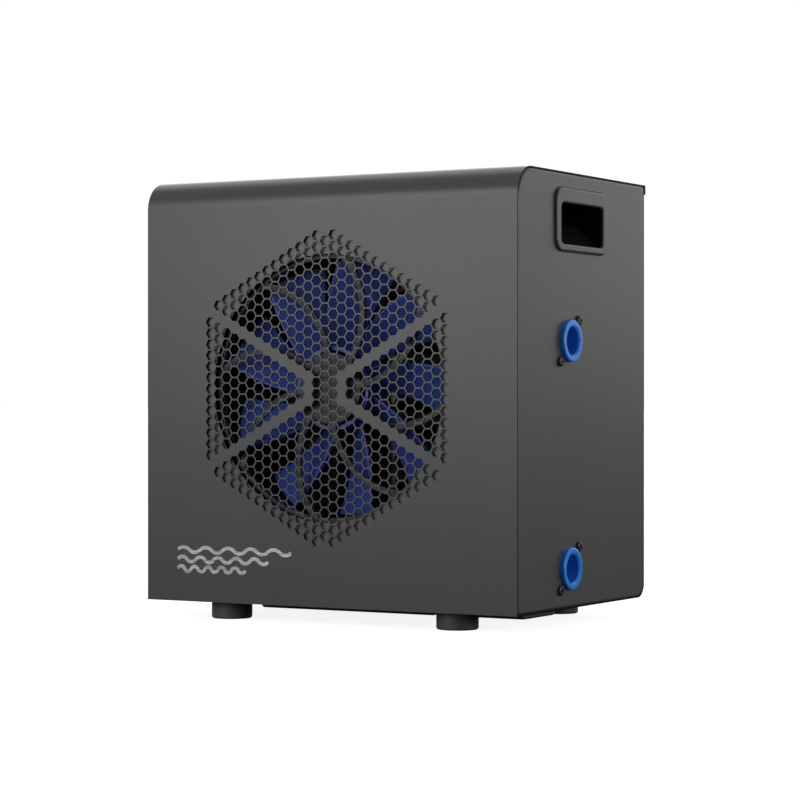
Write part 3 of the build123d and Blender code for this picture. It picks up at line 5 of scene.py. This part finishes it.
import bmesh
import bpy
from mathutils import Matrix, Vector


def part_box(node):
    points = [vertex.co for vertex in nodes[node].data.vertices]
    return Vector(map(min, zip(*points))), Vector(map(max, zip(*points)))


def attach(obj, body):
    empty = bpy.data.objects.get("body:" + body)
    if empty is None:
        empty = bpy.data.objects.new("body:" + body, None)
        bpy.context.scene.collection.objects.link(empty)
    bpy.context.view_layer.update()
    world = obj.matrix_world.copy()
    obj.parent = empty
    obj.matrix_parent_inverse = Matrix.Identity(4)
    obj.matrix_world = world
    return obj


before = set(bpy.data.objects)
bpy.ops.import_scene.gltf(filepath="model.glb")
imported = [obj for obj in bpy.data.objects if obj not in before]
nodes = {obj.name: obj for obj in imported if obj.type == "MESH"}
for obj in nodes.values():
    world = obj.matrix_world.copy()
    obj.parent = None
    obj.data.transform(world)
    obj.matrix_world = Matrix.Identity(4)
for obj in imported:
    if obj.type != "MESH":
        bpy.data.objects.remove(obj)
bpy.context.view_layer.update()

MM = 0.001
bezel_corner = 10 * MM
# Section of the black ring that stands for the shadow gap round each handle frame (painted shadow): how
# far outside the frame's edge, and how far off the panel
shadow_ring_section = ((-0.3, 0.1), (-0.3, 0.7), (0.55, 0.7), (0.85, 0.4), (0.9, 0.1))
floor_reach = 40.0

# ------------------------------------------------------------------ places from the frame

front_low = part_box("front_panel")[0]
top_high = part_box("top_cover")[1]
front_y = front_low.y
middle_z = (front_low.z + top_high.z) / 2


# ------------------------------------------------------------------ material helpers


class Nodes:
    """A material's node tree with short calls for the nodes that repeat."""

    def __init__(self, name):
        self.material = bpy.data.materials.new(name)
        self.material.use_nodes = True
        self.tree = self.material.node_tree
        self.tree.nodes.clear()
        self.output = self.tree.nodes.new("ShaderNodeOutputMaterial")
        self.shader = self.tree.nodes.new("ShaderNodeBsdfPrincipled")
        self.link(self.shader.outputs[0], self.output.inputs["Surface"])
        self.coordinates = self.tree.nodes.new("ShaderNodeTexCoord").outputs["Object"]

    def link(self, source, target):
        self.tree.links.new(source, target)

    def set(self, **values):
        """Constants straight on the shader's sockets."""
        for name, value in values.items():
            socket = name.replace("_", " ").title().replace("Ior", "IOR")
            self.shader.inputs[socket].default_value = value

    def noise(self, scale, detail=3.0, roughness=0.55, stretch=(1, 1, 1)):
        mapping = self.tree.nodes.new("ShaderNodeMapping")
        mapping.inputs["Scale"].default_value = stretch
        self.link(self.coordinates, mapping.inputs["Vector"])
        texture = self.tree.nodes.new("ShaderNodeTexNoise")
        texture.inputs["Scale"].default_value = scale
        texture.inputs["Detail"].default_value = detail
        texture.inputs["Roughness"].default_value = roughness
        self.link(mapping.outputs["Vector"], texture.inputs["Vector"])
        return texture.outputs["Fac"]

    def cells(self, scale):
        texture = self.tree.nodes.new("ShaderNodeTexVoronoi")
        texture.inputs["Scale"].default_value = scale
        self.link(self.coordinates, texture.inputs["Vector"])
        return texture.outputs["Distance"]

    def span(self, value, low, high, to_low, to_high):
        """value from low..high mapped to to_low..to_high and held inside."""
        node = self.tree.nodes.new("ShaderNodeMapRange")
        node.clamp = True
        for name, number in (
            ("From Min", low),
            ("From Max", high),
            ("To Min", to_low),
            ("To Max", to_high),
        ):
            node.inputs[name].default_value = number
        self.link(value, node.inputs["Value"])
        return node.outputs["Result"]

    def blend(self, factor, first, second):
        """Colour between first and second, by a socket; each is a colour or a socket."""
        node = self.tree.nodes.new("ShaderNodeMix")
        node.data_type = "RGBA"
        self.link(factor, node.inputs["Factor"])
        for name, value in (("A", first), ("B", second)):
            socket = [s for s in node.inputs if s.name == name and s.type == "RGBA"][0]
            if isinstance(value, tuple):
                socket.default_value = (*value, 1)
            else:
                self.link(value, socket)
        return [s for s in node.outputs if s.type == "RGBA"][0]

    def colour(self, value):
        self.link(value, self.shader.inputs["Base Color"])

    def roughness(self, value):
        self.link(value, self.shader.inputs["Roughness"])

    def bump(self, height, distance, strength):
        node = self.tree.nodes.new("ShaderNodeBump")
        node.inputs["Distance"].default_value = distance
        node.inputs["Strength"].default_value = strength
        self.link(height, node.inputs["Height"])
        self.link(node.outputs["Normal"], self.shader.inputs["Normal"])

    def facing(self, axis):
        """How far the surface's own normal leans along an axis, from 0 to 1."""
        geometry = self.tree.nodes.new("ShaderNodeNewGeometry")
        split = self.tree.nodes.new("ShaderNodeSeparateXYZ")
        self.link(geometry.outputs["Normal"], split.inputs[0])
        size = self.tree.nodes.new("ShaderNodeMath")
        size.operation = "ABSOLUTE"
        self.link(split.outputs[axis], size.inputs[0])
        return size.outputs[0]


def tint(colour, amount):
    return tuple(min(1.0, c * amount) for c in colour)


# ------------------------------------------------------------------ materials


def powder_coat(name, colour, painted_shade_axis=None, painted_shade_limits=(0.25, 0.4, 0, 1)):
    """Satin powder coat: orange-peel bump, fine speckle, and, when an axis is given, painted shade that
    turns faces leaning along that axis near black (cut edges, hole and duct walls).
    """
    m = Nodes(name)
    speckle = m.noise(2600, 2)
    cloud = m.noise(9, 4)
    tone = m.blend(m.span(cloud, 0.35, 0.65, 0, 1), tint(colour, 0.965), tint(colour, 1.03))
    tone = m.blend(m.span(speckle, 0.45, 0.75, 0, 0.35), tone, tint(colour, 1.22))
    m.set(specular_ior_level=0.5)
    # Painted shade: faces whose normal leans along the axis are darkened to near black and lose most of
    # their reflection, standing in for the shadow on cut edges and walls.
    if painted_shade_axis:
        painted_shade = m.span(m.facing(painted_shade_axis), *painted_shade_limits)
        tone = m.blend(painted_shade, tone, tint(colour, 0.06))
        m.link(m.span(painted_shade, 0, 1, 0.5, 0.04), m.shader.inputs["Specular IOR Level"])
    m.colour(tone)
    m.roughness(m.span(m.noise(600, 3), 0.3, 0.7, 0.27, 0.34))
    m.bump(m.noise(900, 2), 0.00001, 0.3)
    return m.material


def moulded_plastic(name, colour, rough=0.5, grain=1800, depth=0.00004):
    """Fine spark-eroded mould texture with faint flow tone."""
    m = Nodes(name)
    flow = m.noise(22, 3, stretch=(1, 1, 0.4))
    m.colour(m.blend(m.span(flow, 0.3, 0.7, 0, 1), tint(colour, 0.9), tint(colour, 1.1)))
    m.roughness(m.span(m.noise(900, 3), 0.3, 0.7, rough - 0.06, rough + 0.06))
    m.bump(m.noise(grain, 3), depth, 0.5)
    return m.material


def glossy_plastic(name, colour, rough=0.16):
    """Polished moulding with a slight ripple and small handling marks."""
    m = Nodes(name)
    flow = m.noise(30, 3)
    m.colour(m.blend(m.span(flow, 0.3, 0.7, 0, 1), tint(colour, 0.92), tint(colour, 1.08)))
    smears = m.span(m.noise(140, 5, 0.7), 0.45, 0.7, rough, rough + 0.12)
    m.roughness(smears)
    m.bump(m.noise(220, 2), 0.00003, 0.35)
    return m.material


def rubber(name, colour):
    """Moulded rubber with a dusty bloom and fine pores."""
    m = Nodes(name)
    dust = m.span(m.noise(60, 5, 0.7), 0.45, 0.75, 0, 0.5)
    m.colour(m.blend(dust, colour, tint(colour, 2.0)))
    m.roughness(m.span(m.noise(400, 3), 0.3, 0.7, 0.42, 0.6))
    m.bump(m.noise(1500, 3), 0.00006, 0.5)
    return m.material


def sheet_steel(name, colour, spangle=True):
    """Galvanised or plated steel with crystal spangle and rolled grain."""
    m = Nodes(name)
    m.set(metallic=1.0)
    grain = m.noise(350, 4, stretch=(0.06, 1, 1))
    tone = m.blend(m.span(grain, 0.3, 0.7, 0, 1), tint(colour, 0.88), tint(colour, 1.06))
    if spangle:
        crystals = m.cells(130)
        tone = m.blend(m.span(crystals, 0.2, 0.8, 0, 0.4), tone, tint(colour, 0.75))
    m.colour(tone)
    m.roughness(m.span(m.noise(240, 4), 0.3, 0.7, 0.3, 0.48))
    m.bump(grain, 0.00003, 0.3)
    return m.material


def turned_metal(name, colour, rough=0.24):
    """Bright turned or drawn metal with fine draw lines."""
    m = Nodes(name)
    m.set(metallic=1.0)
    lines = m.noise(900, 2, stretch=(0.05, 1, 0.05))
    m.colour(m.blend(m.span(lines, 0.3, 0.7, 0, 1), tint(colour, 0.9), tint(colour, 1.08)))
    m.roughness(m.span(m.noise(300, 4), 0.3, 0.7, rough - 0.05, rough + 0.1))
    m.bump(lines, 0.00002, 0.3)
    return m.material


def copper_tube(name):
    """Drawn copper with brown tarnish."""
    m = Nodes(name)
    m.set(metallic=1.0)
    tarnish = m.span(m.noise(70, 6, 0.7), 0.42, 0.7, 0, 1)
    m.colour(m.blend(tarnish, (0.72, 0.36, 0.22), (0.33, 0.15, 0.09)))
    m.roughness(m.span(m.noise(160, 4), 0.3, 0.7, 0.24, 0.46))
    m.bump(m.noise(900, 2), 0.00002, 0.3)
    return m.material


def brushed_badge(name):
    """Silver emblem, brushed along its length."""
    m = Nodes(name)
    m.set(metallic=1.0)
    lines = m.noise(1400, 3, stretch=(0.03, 1, 1))
    m.colour(m.blend(m.span(lines, 0.3, 0.7, 0, 1), (0.72, 0.73, 0.74), (0.95, 0.95, 0.96)))
    m.roughness(m.span(lines, 0.3, 0.7, 0.22, 0.36))
    m.bump(lines, 0.00002, 0.4)
    return m.material


def fin_stock(name):
    """Thin fins under a dark epoxy coat, with small dents that catch the light."""
    m = Nodes(name)
    dents = m.noise(120, 4)
    m.colour(m.blend(m.span(dents, 0.35, 0.65, 0, 1), (0.012, 0.014, 0.020), (0.022, 0.026, 0.034)))
    m.roughness(m.span(dents, 0.3, 0.7, 0.4, 0.55))
    m.bump(m.noise(500, 3), 0.00006, 0.4)
    return m.material


def circuit_board(name):
    """Green solder mask with copper traces showing through."""
    m = Nodes(name)
    brick = m.tree.nodes.new("ShaderNodeTexBrick")
    brick.inputs["Scale"].default_value = 180
    brick.inputs["Color1"].default_value = (0.02, 0.13, 0.05, 1)
    brick.inputs["Color2"].default_value = (0.025, 0.17, 0.07, 1)
    brick.inputs["Mortar"].default_value = (0.05, 0.26, 0.12, 1)
    m.link(m.coordinates, brick.inputs["Vector"])
    m.colour(brick.outputs["Color"])
    m.roughness(m.span(m.noise(500), 0.3, 0.7, 0.25, 0.4))
    m.bump(brick.outputs["Fac"], 0.00005, 0.5)
    return m.material


def winding(name):
    """Enamelled copper wire wound round the stator's teeth."""
    m = Nodes(name)
    wave = m.tree.nodes.new("ShaderNodeTexWave")
    wave.inputs["Scale"].default_value = 420
    wave.inputs["Distortion"].default_value = 1.5
    m.link(m.coordinates, wave.inputs["Vector"])
    m.colour(m.blend(wave.outputs["Fac"], (0.28, 0.10, 0.04), (0.62, 0.27, 0.12)))
    m.roughness(m.span(wave.outputs["Fac"], 0, 1, 0.35, 0.5))
    m.bump(wave.outputs["Fac"], 0.0002, 0.6)
    return m.material


def smoked_window(name):
    """Dark display window with a faint dot screen under a polished face."""
    m = Nodes(name)
    dots = m.span(m.cells(900), 0.1, 0.5, 0, 1)
    m.colour(m.blend(dots, (0.004, 0.004, 0.005), (0.012, 0.012, 0.014)))
    m.roughness(m.span(m.noise(90, 4), 0.4, 0.7, 0.06, 0.14))
    m.set(coat_weight=0.6, coat_roughness=0.04)
    return m.material


cabinet_grey = (0.105, 0.105, 0.108)
materials = {
    # Painted shade on the wrap's cut edges and hole walls, the faces that lean along X.
    "cabinet_wrap": powder_coat("cabinet_wrap", cabinet_grey, "X"),
    # Painted shade: the side panels and handle frames use the wrap's own paint made about a third
    # darker, a shaded copy of the same coat.
    "cabinet_side_painted_shade": powder_coat("cabinet_side_painted_shade", tint(cabinet_grey, 0.64)),
    # Painted shade on the shroud's duct and hole walls, the faces with little Y in their normal.
    "shroud": powder_coat("shroud", (0.125, 0.125, 0.13), "Y", (0.5, 0.8, 1, 0)),
    "bracket": moulded_plastic("bracket", (0.055, 0.057, 0.061), 0.45),
    "impeller_blue": moulded_plastic("impeller_blue", (0.058, 0.102, 0.46), 0.28, 900),
    "port_blue": glossy_plastic("port_blue", (0.026, 0.28, 1.0), 0.22),
    "gloss_black": glossy_plastic("gloss_black", (0.010, 0.010, 0.011), 0.14),
    "black_plastic": moulded_plastic("black_plastic", (0.016, 0.016, 0.017), 0.5),
    "rubber": rubber("rubber", (0.078, 0.078, 0.079)),
    # Near-black colour for the rings round the handle frames: painted shadow of the gap under each
    # frame.
    "painted_shadow_black": rubber("painted_shadow_black", (0.004, 0.004, 0.004)),
    "galvanised": sheet_steel("galvanised", (0.52, 0.53, 0.55)),
    "zinc": sheet_steel("zinc", (0.62, 0.62, 0.60), spangle=False),
    "screw_black": turned_metal("screw_black", (0.07, 0.07, 0.075), 0.34),
    "bright_steel": turned_metal("bright_steel", (0.62, 0.62, 0.63)),
    "titanium": turned_metal("titanium", (0.42, 0.40, 0.38), 0.3),
    "can": turned_metal("can", (0.70, 0.70, 0.71), 0.3),
    "copper": copper_tube("copper"),
    "badge_silver": brushed_badge("badge_silver"),
    "fins": fin_stock("fins"),
    "board": circuit_board("board"),
    "winding": winding("winding"),
    "enamel": powder_coat("enamel", (0.014, 0.014, 0.015)),
    "pipe_white": moulded_plastic("pipe_white", (0.70, 0.71, 0.71), 0.35, 700),
    "key_grey": moulded_plastic("key_grey", (0.14, 0.14, 0.15), 0.42),
    "window": smoked_window("window"),
}
node_materials = {
    "cabinet_wrap": ["front_panel", "top_cover", "rear_base_cover"],
    # Side panels and handle frames take the painted-shade copy of the wrap's coat.
    "cabinet_side_painted_shade": [
        "side_panel_right",
        "side_panel_left",
        "handle_bezel_right",
        "handle_bezel_left",
    ],
    "shroud": ["fan_shroud"],
    "bracket": ["fan_bracket"],
    "impeller_blue": ["impeller"],
    "port_blue": ["water_inlet_fitting", "water_outlet_fitting"],
    "gloss_black": ["handle_cup_right", "handle_cup_left", "controller_bezel"],
    "black_plastic": [
        "drip_tray",
        "drain_spigot",
        "rear_guard",
        "cable_gland",
        "gland_nut",
        "terminal_cover",
    ],
    "rubber": [
        "foot_front_left",
        "foot_front_right",
        "foot_rear_left",
        "foot_rear_right",
        "compressor_grommets",
    ],
    "galvanised": ["base_pan", "electrical_box", "electrical_cover", "evaporator_end_plates"],
    "zinc": ["foot_bolts", "compressor_bolts", "motor_rotor"],
    "screw_black": ["cabinet_screws"],
    "bright_steel": ["fan_shaft", "motor_bearings", "impeller_nut"],
    "titanium": ["exchanger_coil"],
    "can": ["run_capacitor"],
    "copper": [
        "suction_pipe",
        "discharge_pipe",
        "liquid_pipe",
        "filter_drier",
        "capillary_tube",
        "evaporator_tubes",
    ],
    "badge_silver": ["badge"],
    "fins": ["evaporator_fins"],
    "board": ["controller_board", "control_board"],
    "winding": ["motor_stator"],
    "enamel": ["compressor", "accumulator", "motor_housing"],
    "pipe_white": ["exchanger_shell"],
    "key_grey": ["power_button", "mode_button", "down_button", "up_button"],
    "window": ["controller_window"],
}
for material_name, node_names in node_materials.items():
    for node_name in node_names:
        slots = nodes[node_name].data.materials
        slots.clear()
        slots.append(materials[material_name])

# ------------------------------------------------------------------ black rings round the handles, as painted shadow of their gaps


def rounded_outline(low, high, corner, grow, steps=8):
    """Points (y, z) round a rectangle with rounded corners, grown by grow."""
    radius = corner + grow
    points = []
    for quarter, (y, z) in enumerate(
        (
            (high.y - corner, high.z - corner),
            (low.y + corner, high.z - corner),
            (low.y + corner, low.z + corner),
            (high.y - corner, low.z + corner),
        )
    ):
        for step in range(steps + 1):
            angle = (quarter + step / steps) * math.pi / 2
            points.append((y + radius * math.cos(angle), z + radius * math.sin(angle)))
    return points


def handle_shadow_ring(name, bezel_name, outward):
    """Thin black ring round a handle's raised frame: painted shadow standing for the shadow gap under
    the frame's edge.
    """
    low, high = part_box(bezel_name)
    face_x = low.x if outward > 0 else high.x
    mesh = bpy.data.meshes.new(name)
    shape = bmesh.new()
    rings = []
    for grow, rise in shadow_ring_section:
        points = rounded_outline(low, high, bezel_corner, grow * MM)
        x = face_x + outward * rise * MM
        rings.append([shape.verts.new((x, y, z)) for y, z in points])
    for ring, following in zip(rings, rings[1:] + rings[:1]):
        for n in range(len(ring)):
            after = (n + 1) % len(ring)
            shape.faces.new((ring[n], ring[after], following[after], following[n]))
    bmesh.ops.recalc_face_normals(shape, faces=shape.faces)
    shape.to_mesh(mesh)
    shape.free()
    mesh.materials.append(materials["painted_shadow_black"])
    piece = bpy.data.objects.new(name, mesh)
    bpy.context.scene.collection.objects.link(piece)
    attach(piece, "cabinet")


# Painted shadow: a black ring round each handle frame stands for the shadow gap under its edge.
handle_shadow_ring("handle_shadow_ring_right", "handle_bezel_right", 1)
handle_shadow_ring("handle_shadow_ring_left", "handle_bezel_left", -1)

# ------------------------------------------------------------------ studio


def tree_nodes(tree, *kinds):
    """New nodes of these kinds, in order."""
    return [tree.nodes.new(kind) for kind in kinds]


def white_floor():
    """Pale floor that shows white with a faint contact shadow and reflects little up."""
    material = bpy.data.materials.new("floor_white")
    material.use_nodes = True
    tree = material.node_tree
    tree.nodes.clear()
    rays, seen_mix, bright, lit, dull, sum_node, output = tree_nodes(
        tree,
        "ShaderNodeLightPath",
        "ShaderNodeMixShader",
        "ShaderNodeEmission",
        "ShaderNodeBsdfDiffuse",
        "ShaderNodeBsdfDiffuse",
        "ShaderNodeAddShader",
        "ShaderNodeOutputMaterial",
    )
    bright.inputs["Strength"].default_value = 0.88
    lit.inputs["Color"].default_value = (0.6, 0.6, 0.6, 1)
    dull.inputs["Color"].default_value = (0.12, 0.12, 0.12, 1)
    tree.links.new(bright.outputs[0], sum_node.inputs[0])
    tree.links.new(lit.outputs[0], sum_node.inputs[1])
    tree.links.new(rays.outputs["Is Camera Ray"], seen_mix.inputs["Fac"])
    tree.links.new(dull.outputs[0], seen_mix.inputs[1])
    tree.links.new(sum_node.outputs[0], seen_mix.inputs[2])
    tree.links.new(seen_mix.outputs[0], output.inputs["Surface"])
    return material


floor_mesh = bpy.data.meshes.new("floor")
floor = bpy.data.objects.new("floor", floor_mesh)
bpy.context.scene.collection.objects.link(floor)
shape = bmesh.new()
bmesh.ops.create_grid(shape, x_segments=4, y_segments=4, size=floor_reach)
shape.to_mesh(floor_mesh)
shape.free()
floor_mesh.materials.append(white_floor())


def studio_world():
    """White room to the eye; as light, bright behind and above and dim in front."""
    world = bpy.data.worlds.new("studio")
    world.use_nodes = True
    tree = world.node_tree
    tree.nodes.clear()
    rays, mix, seen, room, output, direction, split, behind, aside, dim, above, total = tree_nodes(
        tree,
        "ShaderNodeLightPath",
        "ShaderNodeMixShader",
        "ShaderNodeBackground",
        "ShaderNodeBackground",
        "ShaderNodeOutputWorld",
        "ShaderNodeTexCoord",
        "ShaderNodeSeparateXYZ",
        "ShaderNodeMapRange",
        "ShaderNodeMapRange",
        "ShaderNodeMath",
        "ShaderNodeValToRGB",
        "ShaderNodeMath",
    )
    seen.inputs["Color"].default_value = (1, 1, 1, 1)
    room.inputs["Color"].default_value = (1, 1, 1, 1)
    for node, limits in (
        (behind, (0.05, 0.3, 0.0, 2.5)),
        (aside, (-0.1, 0.5, 1.0, 0.26)),
    ):
        for name, number in zip(("From Min", "From Max", "To Min", "To Max"), limits):
            node.inputs[name].default_value = number
    tree.links.new(direction.outputs["Generated"], split.inputs[0])
    tree.links.new(split.outputs["Y"], behind.inputs["Value"])
    tree.links.new(split.outputs["X"], aside.inputs["Value"])
    heights = above.color_ramp.elements
    heights.new(0.05)
    heights.new(0.16)
    for stop, (height, amount) in zip(heights, ((0, 0.35), (0.05, 1), (0.16, 1), (0.5, 0.4))):
        stop.position = height
        stop.color = (amount, amount, amount, 1)
    tree.links.new(split.outputs["Z"], above.inputs["Fac"])
    dim.operation = "MULTIPLY"
    tree.links.new(behind.outputs["Result"], dim.inputs[0])
    tree.links.new(aside.outputs["Result"], dim.inputs[1])
    total.operation = "MULTIPLY_ADD"
    tree.links.new(dim.outputs[0], total.inputs[0])
    tree.links.new(above.outputs["Color"], total.inputs[1])
    total.inputs[2].default_value = 0.16
    tree.links.new(total.outputs[0], room.inputs["Strength"])
    tree.links.new(rays.outputs["Is Camera Ray"], mix.inputs["Fac"])
    tree.links.new(room.outputs[0], mix.inputs[1])
    tree.links.new(seen.outputs[0], mix.inputs[2])
    tree.links.new(mix.outputs[0], output.inputs["Surface"])
    return world


bpy.context.scene.world = studio_world()


def softbox(name, place, aim, width, height, radiance):
    """Rectangular area light at place, turned towards aim and hidden from the camera."""
    light = bpy.data.lights.new(name, "AREA")
    light.shape = "RECTANGLE"
    light.size = width
    light.size_y = height
    light.energy = radiance * math.pi * width * height
    lamp = bpy.data.objects.new(name, light)
    lamp.location = place
    lamp.rotation_euler = (Vector(aim) - Vector(place)).to_track_quat("-Z", "Y").to_euler()
    lamp.visible_camera = False
    bpy.context.scene.collection.objects.link(lamp)


softbox(
    "front_box", place=(-0.55, -1.8, 0.72), aim=(0, front_y, 0.46), width=1.5, height=1.1, radiance=2.6
)
softbox(
    "side_box", place=(1.9, 0.1, 0.42), aim=(0.17, 0, middle_z), width=0.8, height=0.6, radiance=6.2
)
softbox(
    "back_fill", place=(-2.0, 0.9, 0.8), aim=(-0.17, 0.1, middle_z), width=0.9, height=0.9, radiance=2.0
)

# ------------------------------------------------------------------ camera

camera_azimuth = math.radians(30)
camera_distance = 2.03
lens_length = 114.8
sensor_width = 36
camera_height = 0.1827
aim_x = 0.0708  # right of the middle, so both visible sides are in view
aim_lead = 0.0007  # just in front of the front panel
aim = Vector((aim_x, front_y - aim_lead, camera_height))
camera_data = bpy.data.cameras.new("camera")
camera_data.lens = lens_length
camera_data.sensor_width = sensor_width
camera = bpy.data.objects.new("camera", camera_data)
towards_camera = Vector((math.sin(camera_azimuth), -math.cos(camera_azimuth), 0))
camera.location = aim + towards_camera * camera_distance
camera.rotation_euler = (-towards_camera).to_track_quat("-Z", "Y").to_euler()
bpy.context.scene.collection.objects.link(camera)
bpy.context.scene.camera = camera
bpy.context.scene.view_settings.view_transform = "Standard"
